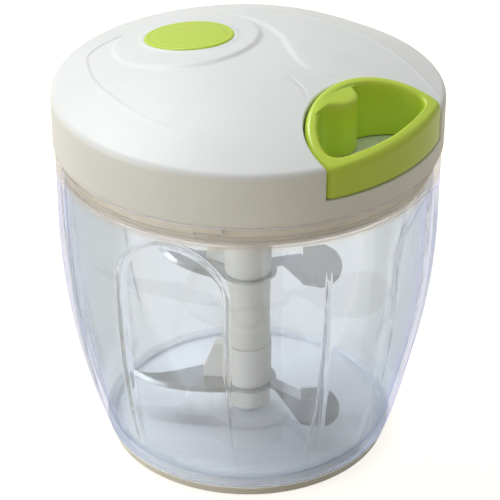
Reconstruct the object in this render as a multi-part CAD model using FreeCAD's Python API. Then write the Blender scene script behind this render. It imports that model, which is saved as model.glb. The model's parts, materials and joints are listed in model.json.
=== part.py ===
import FreeCAD, Part
import math
import os

# Pull-cord food chopper: a clear bowl on a soft base, a lid that holds the cord reel and its spring,
# a ring handle set into the lid's edge, and a bladed column that turns on a pin in the bowl.
# Millimetres, +Z up, origin at the centre of the base's underside, +X the way the handle is pulled.

V = FreeCAD.Vector
UP = V(0, 0, 1)

# ---- bowl ----
rim_inset = 0.6
rim_height = 113.6
bowl_wall = 2.3
wall_curve_radius = 244.0
straight_wall = 27.6
foot_height = 3.9
foot_inset = 2.2
floor_thickness = 2.6
floor_corner_radius = 7.0
panel_count = 4
panel_angle = -70.7
panel_depth = 1.7
panel_top_width = 39.5
panel_bottom_width = 37.0
panel_below_rim = 9.1
panel_arch_rise = 17.0
panel_bottom = 9.0
spike_angle = -23.7
spike_depth = 1.4
spike_below_rim = 22.6
spike_bottom_width = 4.4
key_count = 4
key_angle = -58.7
key_width = 9.0
key_height = 3.2
key_depth = 1.0

# ---- soft base ----
base_floor = 2.2
base_edge_round = 0.8

# ---- pivot in the bowl's floor ----
pin_radius = 2.0
pin_height = 14.0
pin_sunk = 2.2
boss_radius = 5.0
boss_rise = 2.6

# ---- lid ----
lid_radius = 65.0
lid_wall = 2.2
lid_wall_height = 17.8
lid_dome_rise = 12.7
shoulder_round = 5.0
lid_seat_gap = 0.4
collar_drop = 6.6
collar_gap = 0.7
collar_wall = 2.2
collar_flange_height = 2.0
plate_thickness = 2.0
shelf_height = 6.9
shelf_thickness = 2.0
seal_height = 2.4
seal_depth = 1.0
seal_drop = 1.6
badge_x = -23.2
badge_y = -3.8
badge_length = 32.4
badge_width = 27.4
badge_turn = 15.3
badge_sunk = 0.9
badge_proud = 0.9
badge_bevel = 0.7
pad_x = -24.3
pad_y = -3.9
pad_radius = 24.5
pad_rise = 0.4
dish_sink = 0.46
dish_shift_x = 0.62
dish_shift_y = -1.70
dish_outer_line = [(-45.8, -3.0), (-49.3, -10.5), (-50.6, -18.6), (-48.6, -25.8), (-44.4, -30.3),
                   (-37.5, -35.6), (-30.2, -39.9), (-22.3, -43.2), (-8.8, -46.7), (4.4, -47.9), (19.4, -46.5)]
dish_inner_line = [(-28.1, 21.1), (-22.6, 22.5), (-15.3, 21.7), (-6.8, 18.8), (0.5, 15.7), (6.7, 11.6),
                   (13.1, 7.4), (18.8, 5.1), (23.9, 5.0), (30.4, 7.9), (39.2, 14.3)]
lid_screw_count = 4
lid_screw_inset = 11.4
lid_screw_angle = 57.0
lid_screw_boss_radius = 3.6
screw_radius = 1.25
screw_length = 9.0
screw_head_radius = 2.8
screw_head_height = 1.6
drip_rib_radius = 40.0
drip_rib_width = 1.6
drip_rib_drop = 2.4

# ---- handle ----
handle_half_width = 28.0
handle_bulge = 3.0
handle_depth = 24.3
handle_wall = 4.0
handle_proud = 1.2
handle_lean = 6.0
handle_outer_round = 2.2
handle_inner_round = 1.3
handle_corner_round = 2.0
anchor_radius = 6.2
anchor_inset = 0.0
anchor_side = 0.9
anchor_proud = 0.3
knot_radius = 2.8
knot_height = 6.2

# ---- reel, cord and recoil spring ----
cord_diameter = 2.2
cord_turn_radius = 18.0
reel_groove = 8.6
reel_flange = 2.0
reel_flange_radius = 25.5
reel_boss_radius = 5.5
spring_cup_depth = 6.6
spring_cup_wall = 1.6
spring_strip = 0.45
spring_width = 5.0
spring_turns = 6
arbor_radius = 4.6
axle_radius = 2.5
axle_boss_radius = 6.0
eyelet_radius = 3.4
eyelet_flange_radius = 4.4
eyelet_flange = 0.8

# ---- ratchet and drive hub ----
tooth_count = 12
tooth_depth = 1.8
ratchet_height = 6.9
tooth_root_radius = 21.5
ratchet_wall = 2.0
pawl_pivot_radius = 13.5
pawl_pivot_angle = 30.0
pawl_eye_radius = 2.6
pawl_thickness = 4.0
pawl_pin_radius = 1.0
pawl_tip_width = 2.4
pawl_tip_gap = 0.15
pawl_spring_strip = 0.5
hub_radius = 10.0
hub_drop = 9.0
hub_flange_radius = 17.0
hub_flange = 2.5
drive_flats = 11.0
drive_depth = 7.0

# ---- rotor ----
core_flats = 8.4
sleeve_radius = 7.9
bush_radius = 3.2
bush_length = 14.0
blade_sheet = 1.0
lower_blade_height = 15.6
upper_blade_height = 60.4
clip_height = 15.4
clip_radius = 8.2
clip_arm_length = 16.0
clip_arm_width = 3.2
seat_height = 7.4
lower_blade_reach = 45.0
upper_blade_reach = 39.0
blade_belly = 10.6
blade_root_radius = 10.0
edge_bevel_width = 1.5
edge_bevel_depth = 0.7
tab_width = 4.8
neck_root = 9.0
neck_start = 12.5
paddle_width = 13.3
paddle_height = 17.2
paddle_drop = 10.2
lower_flat_angle = -143.0
lower_paddle_angle = 3.0
lower_paddle_start = 24.0
lower_paddle_bend = 32.0
upper_flat_angle = -168.0
upper_paddle_angle = 58.0
upper_paddle_start = 20.5
upper_paddle_bend = -18.0

# ---- clearances ----
handle_clearance = 0.5
running_clearance = 0.05
drive_clearance = 0.15
seat_clearance = 0.3
collar_clearance = 0.2

# ---- levels and radii that follow from the sizes above ----
rim_radius = lid_radius - rim_inset
wall_curve_start = rim_height - straight_wall
panel_top = rim_height - panel_below_rim
spike_top = rim_height - spike_below_rim
collar_radius = rim_radius - bowl_wall - collar_gap
lid_screw_circle = collar_radius - lid_screw_inset
lid_bottom = rim_height + lid_seat_gap
dome_edge = lid_bottom + lid_wall_height
dome_top = dome_edge + lid_dome_rise
dome_radius = (lid_radius ** 2 + lid_dome_rise ** 2) / (2 * lid_dome_rise)
dome_centre = dome_top - dome_radius
collar_bottom = lid_bottom - collar_drop
plate_top = collar_bottom + plate_thickness
shelf_top = lid_bottom + shelf_height
handle_centre_x = math.sqrt((lid_radius - handle_clearance) ** 2 - handle_half_width ** 2)
notch_edge_x = handle_centre_x - handle_depth - handle_clearance
foot_bottom = base_floor
floor_top = foot_bottom + floor_thickness
boss_top = floor_top + boss_rise
hub_flange_bottom = plate_top + 0.1
hub_flange_top = hub_flange_bottom + hub_flange
hub_bottom = plate_top - hub_drop - plate_thickness
socket_top = hub_bottom + drive_depth
reel_bottom = hub_flange_top + seat_clearance
groove_bottom = reel_bottom + ratchet_height + reel_flange
groove_top = groove_bottom + reel_groove
cord_height = groove_bottom + reel_groove / 2
drum_radius = cord_turn_radius - cord_diameter / 2
cup_bottom = groove_top + reel_flange
cup_top = cup_bottom + spring_cup_depth
arbor_top = cup_top - seat_clearance
rotor_bottom = boss_top + seat_clearance
core_top = hub_bottom - seat_clearance


def cylinder(radius, bottom, top, x=0.0, y=0.0):
    return Part.makeCylinder(radius, top - bottom, V(x, y, bottom), UP)


def ring(outer, inner, bottom, top, x=0.0, y=0.0):
    return cylinder(outer, bottom, top, x, y).cut(cylinder(inner, bottom - 1, top + 1, x, y))


def ball(radius):
    # a solid under the dome's surface, or parallel to it when the radius differs
    return Part.makeSphere(radius, V(0, 0, dome_centre), UP, -90, 90, 360)


def prism(points, bottom, top):
    wire = Part.makePolygon([V(x, y, bottom) for x, y in points] + [V(points[0][0], points[0][1], bottom)])
    return Part.Face(wire).extrude(V(0, 0, top - bottom))


def loop_prism(edges, height):
    return Part.Face(Part.Wire(Part.__sortEdges__(edges))).extrude(V(0, 0, height))


def line(a, b):
    return Part.LineSegment(a, b).toShape()


def arc(a, mid, b):
    return Part.Arc(a, mid, b).toShape()


def turned(shape, angle, x=0.0, y=0.0):
    copy = shape.copy()
    copy.rotate(V(x, y, 0), UP, angle)
    return copy


def polar(radius, angle):
    return radius * math.cos(math.radians(angle)), radius * math.sin(math.radians(angle))


def around(shape, count, first=0.0):
    return [turned(shape, first + 360.0 * k / count) for k in range(count)]


def hexagon(flats, bottom, top):
    corner = flats / math.sqrt(3)
    return prism([polar(corner, 60 * k) for k in range(6)], bottom, top)


def save(shape, name):
    shape = shape.removeSplitter()
    if not shape.isValid():
        raise ValueError(name + " is not valid")
    shape.exportStep("parts/" + name + ".step")
    print(name, len(shape.Solids), round(shape.Volume / 1000, 2), "cm3")


# ---- bowl, base and pivot pin ----

def wall_radius(height, inset=0.0):
    # outer wall at a height: straight near the rim, then one long arc down to the foot
    drop = max(0.0, wall_curve_start - height)
    arc_radius = wall_curve_radius - inset
    sag = arc_radius - math.sqrt(arc_radius ** 2 - drop ** 2)
    return rim_radius - inset - sag


def wall_body(inset, bottom, top, corner=0.0, press=0.0):
    # everything inside the wall's curve, moved in by an inset, between two heights;
    # a press grows from nothing at the bottom to its full depth where the wall turns straight
    low = V(wall_radius(bottom, inset), 0, bottom)
    mid_height = (bottom + wall_curve_start) / 2
    middle = V(wall_radius(mid_height, inset) - 0.75 * press, 0, mid_height)
    start = V(rim_radius - inset - press, 0, wall_curve_start)
    edges = [
        line(V(0, 0, bottom), low),
        arc(low, middle, start),
        line(start, V(start.x, 0, top)),
        line(V(start.x, 0, top), V(0, 0, top)),
        line(V(0, 0, top), V(0, 0, bottom)),
    ]
    body = Part.Face(Part.Wire(edges)).revolve(V(0, 0, 0), UP, 360)
    if corner:
        low_edges = [e for e in body.Edges if e.BoundBox.ZMax < bottom + 0.01 and e.Length > 10]
        body = body.makeFillet(corner, low_edges)
    return body


def panel_prism():
    # an arched window shape, seen along +X, that narrows towards the foot
    half_top = panel_top_width / 2
    half_low = panel_bottom_width / 2
    shoulder = panel_top - panel_arch_rise
    x = rim_radius / 2
    low_left = V(x, -half_low, panel_bottom)
    low_right = V(x, half_low, panel_bottom)
    left = V(x, -half_top, shoulder)
    right = V(x, half_top, shoulder)
    edges = [
        line(low_left, left),
        arc(left, V(x, 0, panel_top), right),
        line(right, low_right),
        line(low_right, low_left),
    ]
    return Part.Face(Part.Wire(edges)).extrude(V(rim_radius, 0, 0))


def spike_prism():
    # a tall thin wedge, a point at the top, seen along +X
    x = rim_radius / 2
    half = spike_bottom_width / 2
    corners = [V(x, -half, panel_bottom), V(x, half, panel_bottom), V(x, 0, spike_top), V(x, -half, panel_bottom)]
    return Part.Face(Part.makePolygon(corners)).extrude(V(rim_radius, 0, 0))


def pressed(body, inset):
    # presses the panels and spikes into a wall body that lies an inset inside the outer wall
    deep = wall_body(inset, panel_bottom, rim_height + 5, press=panel_depth)
    shallow = wall_body(inset, panel_bottom, rim_height + 5, press=spike_depth)
    panel = panel_prism().cut(deep)
    spike = spike_prism().cut(shallow)
    return body.cut(around(panel, panel_count, panel_angle) + around(spike, panel_count, spike_angle))


def key_block(outer, bottom, top, width):
    block = Part.makeBox(outer, width, top - bottom, V(0, -width / 2, bottom))
    return block.common(cylinder(outer, bottom, top)).cut(cylinder(outer - 3 * key_depth, bottom - 1, top + 1))


def make_bowl():
    outer = pressed(wall_body(0.0, foot_bottom, rim_height), 0.0)
    inner = pressed(wall_body(bowl_wall, floor_top, rim_height + 1, floor_corner_radius), bowl_wall)
    bowl = outer.cut(inner)
    foot_radius = wall_radius(foot_height) - foot_inset
    skirt = ring(rim_radius, foot_radius, foot_bottom - 1, foot_height)
    bowl = bowl.cut(skirt)
    keyway = key_block(rim_radius - bowl_wall + key_depth, rim_height - key_height - seat_clearance,
                       rim_height + 1, key_width + 2 * seat_clearance)
    bowl = bowl.cut(around(keyway, key_count, key_angle))
    bowl = bowl.fuse(cylinder(boss_radius, floor_top - 0.5, boss_top))
    return bowl.cut(cylinder(pin_radius, floor_top - pin_sunk, boss_top + 1))


def make_base():
    # a shallow cup whose side carries the bowl's own curve on down
    foot_radius = wall_radius(foot_height) - foot_inset
    cup = wall_body(0.0, 0.0, rim_height, base_edge_round).common(cylinder(rim_radius, 0, foot_height - 0.2))
    pocket = cylinder(foot_radius + running_clearance, foot_bottom, foot_height + 1)
    hollow = cylinder(foot_radius - 8, -1, 0.6)
    return cup.cut(pocket).cut(hollow)


def make_pivot_pin():
    pin = cylinder(pin_radius, floor_top - pin_sunk, floor_top - pin_sunk + pin_height + pin_sunk)
    top = [e for e in pin.Edges if e.BoundBox.ZMin > floor_top + pin_height - 0.01]
    return pin.makeFillet(0.6, top)


# ---- lid ----

def quarter_bend(centre, first, second):
    # a quarter ellipse between two points, whichever of them lies farther out
    longer, shorter = sorted((first, second), key=centre.distanceToPoint, reverse=True)
    return Part.ArcOfEllipse(Part.Ellipse(longer, shorter, centre), 0, math.pi / 2).toShape()


def bend_edges(open_x, inner_x, half, height):
    # two quarter ellipses that meet at the innermost point, which lies a little to one side
    centre = V(open_x, handle_bulge, height)
    inner = V(inner_x, handle_bulge, height)
    return [quarter_bend(centre, V(open_x, y, height), inner) for y in (half, -half)]


def notch_edges(grow, reach, height):
    # the handle's outline, grown by a clearance, open towards +X
    half = handle_half_width + grow
    return bend_edges(handle_centre_x, handle_centre_x - handle_depth - grow, half, height) + [
        line(V(handle_centre_x, -half, height), V(reach, -half, height)),
        line(V(reach, -half, height), V(reach, half, height)),
        line(V(reach, half, height), V(handle_centre_x, half, height)),
    ]


def notch_body(grow, bottom, top):
    return loop_prism(notch_edges(grow, lid_radius + 10, bottom), top - bottom)


def dome_body(radius, inset, bottom, shoulder):
    body = cylinder(radius, bottom, dome_top + 5).common(ball(dome_radius - inset))
    edge_height = dome_centre + math.sqrt((dome_radius - inset) ** 2 - radius ** 2)
    rim = [e for e in body.Edges if abs(e.BoundBox.ZMin - edge_height) < 0.01 and e.BoundBox.ZLength < 0.01]
    return body.makeFillet(shoulder, rim)


def oval_body(length, width, bottom, top):
    ellipse = Part.Ellipse(V(0, 0, bottom), length / 2, width / 2)
    body = loop_prism([ellipse.toShape()], top - bottom)
    body.rotate(V(0, 0, 0), UP, badge_turn)
    body.translate(V(badge_x, badge_y, 0))
    return body


def screw_places():
    angles = (lid_screw_angle, 180 - lid_screw_angle, 180 + lid_screw_angle, -lid_screw_angle)
    return [polar(lid_screw_circle, a) for a in angles[:lid_screw_count]]


def through(points, height):
    curve = Part.BSplineCurve()
    curve.interpolate([V(x, y, height) for x, y in points])
    return curve.toShape()


def dish_body():
    # the sunk field that sweeps round the cap to the handle: its floor is the dome's ball, moved a little,
    # so that it is deepest behind the cap and runs out to nothing at the front
    outer_end = V(*dish_outer_line[-1], dome_edge)
    inner_end = V(*dish_inner_line[-1], dome_edge)
    far_low = V(lid_radius, outer_end.y, dome_edge)
    far_high = V(lid_radius, inner_end.y, dome_edge)
    edges = [
        through(dish_outer_line, dome_edge),
        line(outer_end, far_low),
        line(far_low, far_high),
        line(far_high, inner_end),
        through(dish_inner_line, dome_edge),
        line(V(*dish_inner_line[0], dome_edge), V(*dish_outer_line[0], dome_edge)),
    ]
    floor = ball(dome_radius)
    floor.translate(V(dish_shift_x, dish_shift_y, -dish_sink))
    return loop_prism(edges, lid_dome_rise + 5).cut(floor)


def make_lid_shell():
    shell = dome_body(lid_radius, 0.0, lid_bottom, shoulder_round).cut(dish_body())
    pad = cylinder(pad_radius, dome_edge, dome_top + 5, pad_x, pad_y).common(ball(dome_radius + pad_rise))
    shell = shell.fuse(pad)
    cavity = dome_body(lid_radius - lid_wall, lid_wall, lid_bottom - 1, shoulder_round - lid_wall)
    cavity = cavity.cut(notch_body(handle_clearance + shelf_thickness, shelf_top - shelf_thickness, dome_top + 5))
    for x, y in screw_places():
        cavity = cavity.cut(cylinder(lid_screw_boss_radius, plate_top, dome_top, x, y))
    cavity = cavity.cut(cylinder(axle_boss_radius, arbor_top, dome_top))
    shell = shell.cut(cavity)
    shell = shell.cut(notch_body(handle_clearance, shelf_top, dome_top + 5))
    for x, y in screw_places():
        shell = shell.cut(cylinder(screw_radius, plate_top - 1, collar_bottom + screw_length + 1, x, y))
    shell = shell.cut(cylinder(axle_radius, arbor_top - 1, dome_top - lid_wall))
    shell = shell.cut(oval_body(badge_length + 2 * running_clearance, badge_width + 2 * running_clearance,
                                dome_edge, dome_top + 5).cut(ball(dome_radius + pad_rise - badge_sunk)))
    eyelet_hole = Part.makeCylinder(eyelet_radius, 12, V(notch_edge_x - 8, 0, cord_height), V(1, 0, 0))
    return shell.cut(eyelet_hole)


def make_lid_base():
    # the plug that closes the lid and reaches down inside the bowl's rim
    plate = cylinder(collar_radius, collar_bottom, plate_top)
    wall = ring(collar_radius, collar_radius - collar_wall, collar_bottom, lid_bottom + collar_flange_height)
    flange = ring(lid_radius - lid_wall - collar_clearance, collar_radius - collar_wall,
                  lid_bottom, lid_bottom + collar_flange_height)
    base = plate.fuse([wall, flange])
    keys = around(key_block(rim_radius - bowl_wall + key_depth - seat_clearance, rim_height - key_height,
                            rim_height, key_width), key_count, key_angle)
    base = base.fuse(keys)
    rib = ring(drip_rib_radius, drip_rib_radius - drip_rib_width, collar_bottom - drip_rib_drop, plate_top)
    bearing = ring(hub_radius + 4, hub_radius + running_clearance, collar_bottom - drip_rib_drop, plate_top)
    base = base.fuse([rib, bearing]).cut(cylinder(hub_radius + running_clearance, collar_bottom - 5, plate_top + 1))
    seal_top = lid_bottom - seal_drop - key_height
    groove = ring(collar_radius + 1, collar_radius - seal_depth, seal_top - seal_height, seal_top)
    base = base.cut(groove)
    for x, y in screw_places():
        base = base.cut(cylinder(screw_radius + 0.3, collar_bottom - 1, plate_top + 1, x, y))
    return base


def make_lid_seal():
    seal_top = lid_bottom - seal_drop - key_height
    outer = rim_radius - bowl_wall - seat_clearance
    seal = ring(outer, collar_radius - seal_depth, seal_top - seal_height, seal_top)
    lips = ring(outer + 1, outer - seat_clearance, seal_top - 0.6 * seal_height, seal_top - 0.4 * seal_height)
    return seal.cut(lips)


def make_badge():
    body = oval_body(badge_length, badge_width, dome_edge, dome_top + 5)
    body = body.common(ball(dome_radius + pad_rise + badge_proud)).cut(ball(dome_radius + pad_rise - badge_sunk))
    body = body.Solids[0]
    above = body.CenterOfMass.z + badge_proud / 2
    top_edges = [e for e in body.Edges if e.CenterOfMass.z > above and e.Length > badge_width]
    return body.makeFillet(badge_bevel, top_edges)


def make_eyelet():
    start = notch_edge_x - shelf_thickness - eyelet_flange
    body = Part.makeCylinder(eyelet_radius, shelf_thickness + eyelet_flange, V(start, 0, cord_height), V(1, 0, 0))
    flange = Part.makeCylinder(eyelet_flange_radius, eyelet_flange, V(start, 0, cord_height), V(1, 0, 0))
    hole = Part.makeCylinder(cord_diameter / 2 + 0.4, 12, V(start - 1, 0, cord_height), V(1, 0, 0))
    return body.fuse(flange).cut(hole)


def make_axle():
    shaft = cylinder(axle_radius, socket_top + 2.2, dome_top - lid_wall - 1.0)
    arbor = cylinder(arbor_radius, cup_bottom + 0.6, arbor_top)
    slot = Part.makeBox(2 * arbor_radius, spring_strip + 0.1, spring_width + 1,
                        V(0, -(spring_strip + 0.1) / 2, cup_bottom + 0.5))
    return shaft.fuse(arbor).cut(slot)


def make_lid_screws():
    screws = []
    for x, y in screw_places():
        head = cylinder(screw_head_radius, collar_bottom - screw_head_height, collar_bottom, x, y)
        low = [e for e in head.Edges if e.BoundBox.ZMax < collar_bottom - screw_head_height + 0.01]
        head = head.makeFillet(0.7, low)
        cross = Part.makeBox(3.2, 0.7, 0.8, V(x - 1.6, y - 0.35, collar_bottom - screw_head_height))
        cross2 = Part.makeBox(0.7, 3.2, 0.8, V(x - 0.35, y - 1.6, collar_bottom - screw_head_height))
        shank = cylinder(screw_radius, collar_bottom, collar_bottom + screw_length, x, y)
        screws.append(head.fuse(shank).cut([cross, cross2]))
    return Part.makeCompound(screws)


def make_recoil_spring():
    # a flat strip in half turns whose centres alternate, from the arbor out to the cup
    inner = arbor_radius + spring_strip
    outer = reel_flange_radius - spring_cup_wall - spring_strip
    half_turns = 2 * spring_turns
    step = (outer - inner) / (half_turns + 1)
    bottom = cup_bottom + 0.8

    def band(offset):
        edges = []
        ends = []
        centre = 0.0
        side = 1
        for k in range(half_turns):
            radius = inner + step * (k + 0.5) + offset
            start = V(centre + side * radius, 0, bottom)
            top = V(centre, side * radius, bottom)
            end = V(centre - side * radius, 0, bottom)
            edges.append(arc(start, top, end))
            ends.append((start, end))
            centre = centre + side * step
            side = -side
        return edges, ends[0][0], ends[-1][1]

    inside, start_a, end_a = band(-spring_strip / 2)
    outside, start_b, end_b = band(spring_strip / 2)
    edges = inside + [line(end_a, end_b)] + outside + [line(start_b, start_a)]
    wire = Part.Wire(Part.__sortEdges__(edges))
    return Part.Face(wire).extrude(V(0, 0, spring_width))


# ---- reel and cord ----

def pawl_pivot():
    return polar(pawl_pivot_radius, pawl_pivot_angle)


def pawl_swing():
    # length and direction from the pawl's pivot to the root of the tooth that it meets
    x, y = pawl_pivot()
    return math.hypot(tooth_root_radius - x, y), math.degrees(math.atan2(-y, tooth_root_radius - x))


def tooth_lean():
    # how far a tooth's tip lags behind its root, so that its face lies along the pawl's swing
    tip = tooth_root_radius - tooth_depth
    apart = (pawl_pivot_radius ** 2 + tip ** 2 - pawl_swing()[0] ** 2) / (2 * pawl_pivot_radius * tip)
    return math.degrees(math.acos(apart)) - pawl_pivot_angle


def make_reel():
    skirt_radius = tooth_root_radius + ratchet_wall
    body = cylinder(skirt_radius, reel_bottom, groove_bottom)
    body = body.fuse([
        cylinder(reel_flange_radius, groove_bottom - reel_flange, groove_bottom),
        cylinder(drum_radius, groove_bottom, groove_top),
        cylinder(reel_flange_radius, groove_top, cup_top),
    ])
    points = []
    for k in range(tooth_count):
        points.append(polar(tooth_root_radius, 360.0 / tooth_count * k))
        points.append(polar(tooth_root_radius - tooth_depth, 360.0 / tooth_count * (k + 1) - tooth_lean()))
    teeth = prism(points, reel_bottom - 1, groove_bottom - reel_flange)
    boss = cylinder(reel_boss_radius, reel_bottom, groove_bottom)
    cup = cylinder(reel_flange_radius - spring_cup_wall, cup_bottom, cup_top + 1)
    body = body.cut(teeth.cut(boss)).cut(cup)
    for pocket in around(cylinder(3.6, groove_bottom + 2, groove_top + 1 + reel_flange, drum_radius - 5.6, 0), 6):
        body = body.cut(pocket.common(cylinder(drum_radius, groove_bottom, cup_bottom - 2)))
    return body.cut(cylinder(axle_radius + running_clearance, reel_bottom - 1, cup_top + 1))


def make_wound_cord():
    # the turns that lie side by side on the drum
    turns = int(reel_groove / cord_diameter)
    bead = cord_diameter / 2
    first = cord_height - (turns - 1) * bead
    rings = [Part.makeTorus(cord_turn_radius + 0.02, bead - 0.02, V(0, 0, first + 2 * bead * k), UP)
             for k in range(turns)]
    return Part.makeCompound(rings)


def make_cord_lead():
    # the stretch from the drum through the eyelet to the knot
    bend_x = notch_edge_x - shelf_thickness - eyelet_flange - 2
    swing = math.degrees(math.acos(cord_turn_radius / bend_x))
    leave = V(*polar(cord_turn_radius, -swing), cord_height)
    bend = V(bend_x, 0, cord_height)
    end = V(handle_centre_x - handle_depth + anchor_inset + 2, 0, cord_height)
    run = (bend - leave).normalize()
    turn = math.radians(90 - swing)
    radius = 6.0
    trim = radius * math.tan(turn / 2)
    start_arc = bend - run * trim
    end_arc = bend + V(1, 0, 0) * trim
    centre = end_arc + V(0, -radius, 0)
    out = ((bend - centre).normalize()) * radius
    path = Part.Wire([line(leave, start_arc), arc(start_arc, centre + out, end_arc), line(end_arc, end)])
    section = Part.Wire([Part.Circle(leave, run, cord_diameter / 2).toShape()])
    tube = path.makePipeShell([section], True, False)
    return tube.cut(ring(cord_turn_radius + cord_diameter / 2 + 0.15, drum_radius - 1,
                         groove_bottom, groove_top))


# ---- drive hub, pawls and their springs ----

def make_hub():
    body = cylinder(hub_radius, hub_bottom, hub_flange_bottom)
    body = body.fuse(cylinder(hub_flange_radius, hub_flange_bottom, hub_flange_top))
    socket = hexagon(drive_flats + 2 * drive_clearance, hub_bottom - 1, socket_top)
    bore = cylinder(axle_radius + running_clearance, socket_top + 1.5, hub_flange_top + 1)
    body = body.cut([socket, bore])
    x, y = pawl_pivot()
    for pin in around(cylinder(pawl_pin_radius, hub_flange_bottom + 0.8, hub_flange_top + 1, x, y), 2):
        body = body.cut(pin)
    post_x, post_y = polar(8.4, pawl_pivot_angle - 22)
    post = cylinder(1.3, hub_flange_top - 0.5, hub_flange_top + pawl_thickness, post_x, post_y)
    return body.fuse(around(post, 2))


def make_pawl_pins():
    x, y = pawl_pivot()
    pin = cylinder(pawl_pin_radius, hub_flange_bottom + 0.8, hub_flange_top + seat_clearance + pawl_thickness + 0.4,
                   x, y)
    return Part.makeCompound(around(pin, 2))


def pawl_tip():
    # the two corners of the tip's face, which lies along the pawl's own swing
    x, y = pawl_pivot()
    length, direction = pawl_swing()
    length = length - pawl_tip_gap
    first = direction - math.degrees(2 * pawl_tip_gap / length)
    last = first - math.degrees(pawl_tip_width / length)
    return [(x + dx, y + dy) for dx, dy in (polar(length, first), polar(length, last))]


def make_pawl():
    x, y = pawl_pivot()
    bottom = hub_flange_top + 0.1
    top = bottom + pawl_thickness
    eye = cylinder(pawl_eye_radius, bottom, top, x, y)
    tip_outer, tip_inner = pawl_tip()
    side_out = (x + pawl_eye_radius * math.cos(math.radians(52)), y + pawl_eye_radius * math.sin(math.radians(52)))
    side_in = (x - pawl_eye_radius * math.cos(math.radians(52)), y - pawl_eye_radius * math.sin(math.radians(52)))
    arm = prism([tip_outer, side_out, side_in, tip_inner], bottom, top)
    hole = cylinder(pawl_pin_radius + running_clearance, bottom - 1, top + 1, x, y)
    return eye.fuse(arm).cut(hole)


def make_pawl_spring():
    # a leaf that leans on the pawl's inner flank from the hub's post
    x, y = pawl_pivot()
    post_x, post_y = polar(8.4, pawl_pivot_angle - 22)
    tip_x, tip_y = pawl_tip()[1]
    side_x = x - pawl_eye_radius * math.cos(math.radians(52))
    side_y = y - pawl_eye_radius * math.sin(math.radians(52))
    rest_x = (tip_x + side_x) / 2
    rest_y = (tip_y + side_y) / 2
    along = V(rest_x - post_x, rest_y - post_y, 0)
    length = along.Length
    along.normalize()
    bottom = hub_flange_top + 1.0
    leaf = Part.makeBox(length - 1.3 - 0.35, pawl_spring_strip, pawl_thickness - 2,
                        V(1.3, -pawl_spring_strip / 2, bottom))
    leaf.rotate(V(0, 0, 0), UP, math.degrees(math.atan2(along.y, along.x)))
    leaf.translate(V(post_x, post_y, 0))
    return leaf


# ---- handle ----

def handle_outline(shrink, bottom):
    # a bend towards the lid's centre, the lid's own round on the outside
    half = handle_half_width - shrink
    outer_radius = lid_radius - handle_clearance - shrink
    corner_x = math.sqrt(outer_radius ** 2 - half ** 2)
    inner_x = handle_centre_x - handle_depth + shrink
    outside = arc(V(corner_x, -half, bottom), V(outer_radius, 0, bottom), V(corner_x, half, bottom))
    return bend_edges(corner_x, inner_x, half, bottom) + [outside]


def rim_edges(body, walls, above, reach):
    # the edges above a height that run along the side walls of another solid
    sides = [face for face in walls.Faces if face.BoundBox.ZLength > handle_wall]
    found = []
    for edge in body.Edges:
        middle = Part.Vertex(edge.valueAt((edge.FirstParameter + edge.LastParameter) / 2))
        upright = edge.BoundBox.XLength < 0.01 and edge.BoundBox.YLength < 0.01
        if edge.BoundBox.ZMin < above or upright:
            continue
        if min(side.distToShape(middle)[0] for side in sides) < reach:
            found.append(edge)
    return found


def make_handle():
    bottom = shelf_top + seat_clearance
    height = dome_top + 5 - bottom
    outline = loop_prism(handle_outline(0, bottom), height)
    hole = loop_prism(handle_outline(handle_wall, bottom - 1), height + 2)
    crown = ball(dome_radius + handle_proud)
    crown.translate(V(0, handle_lean, 0))
    body = outline.cut(hole).common(crown).Solids[0]
    corners = [e for e in body.Edges if e.BoundBox.XLength < 0.01 and e.BoundBox.YLength < 0.01]
    body = body.makeFillet(handle_corner_round, corners)
    body = body.makeFillet(handle_outer_round, rim_edges(body, outline, bottom + 3, handle_wall / 4))
    inner_edges = rim_edges(body, hole, bottom + 3, handle_wall / 6)
    body = body.makeFillet(handle_inner_round, [e for e in inner_edges if e.Length > handle_wall / 2])
    anchor_x = handle_centre_x - handle_depth + handle_wall + anchor_inset
    anchor = cylinder(anchor_radius, bottom, dome_top + 5, anchor_x, anchor_side)
    body = body.fuse(anchor.common(hole).common(ball(dome_radius + anchor_proud)))
    chamber = cylinder(knot_radius + running_clearance, bottom - 1, bottom + knot_height, anchor_x, 0)
    entry = Part.makeCylinder(cord_diameter / 2 + 0.2, anchor_x - notch_edge_x, V(notch_edge_x, 0, cord_height),
                              V(1, 0, 0))
    return body.cut([chamber, entry])


def make_knot():
    anchor_x = handle_centre_x - handle_depth + handle_wall + anchor_inset
    body = cylinder(knot_radius, shelf_top + seat_clearance + 0.1, shelf_top + seat_clearance + knot_height - 0.1,
                    anchor_x, 0)
    ends = [e for e in body.Edges if e.BoundBox.ZLength < 0.01]
    body = body.makeFillet(knot_radius / 2.4, ends)
    return body.cut(Part.makeCylinder(cord_diameter / 2, anchor_x, V(0, 0, cord_height), V(1, 0, 0)))


# ---- rotor ----

def make_spindle():
    core = hexagon(core_flats, rotor_bottom, core_top)
    head = hexagon(drive_flats, core_top, socket_top - seat_clearance)
    core = core.fuse(head)
    return core.cut(cylinder(bush_radius, rotor_bottom - 1, rotor_bottom + bush_length))


def make_bush():
    return ring(bush_radius, pin_radius + running_clearance, rotor_bottom, rotor_bottom + bush_length)


def sleeve(radius, bottom, top):
    body = cylinder(radius, bottom, top)
    ends = [e for e in body.Edges if e.BoundBox.ZLength < 0.01]
    body = body.makeFillet(0.25, ends)
    return body.cut(hexagon(core_flats, bottom - 1, top + 1))


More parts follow.
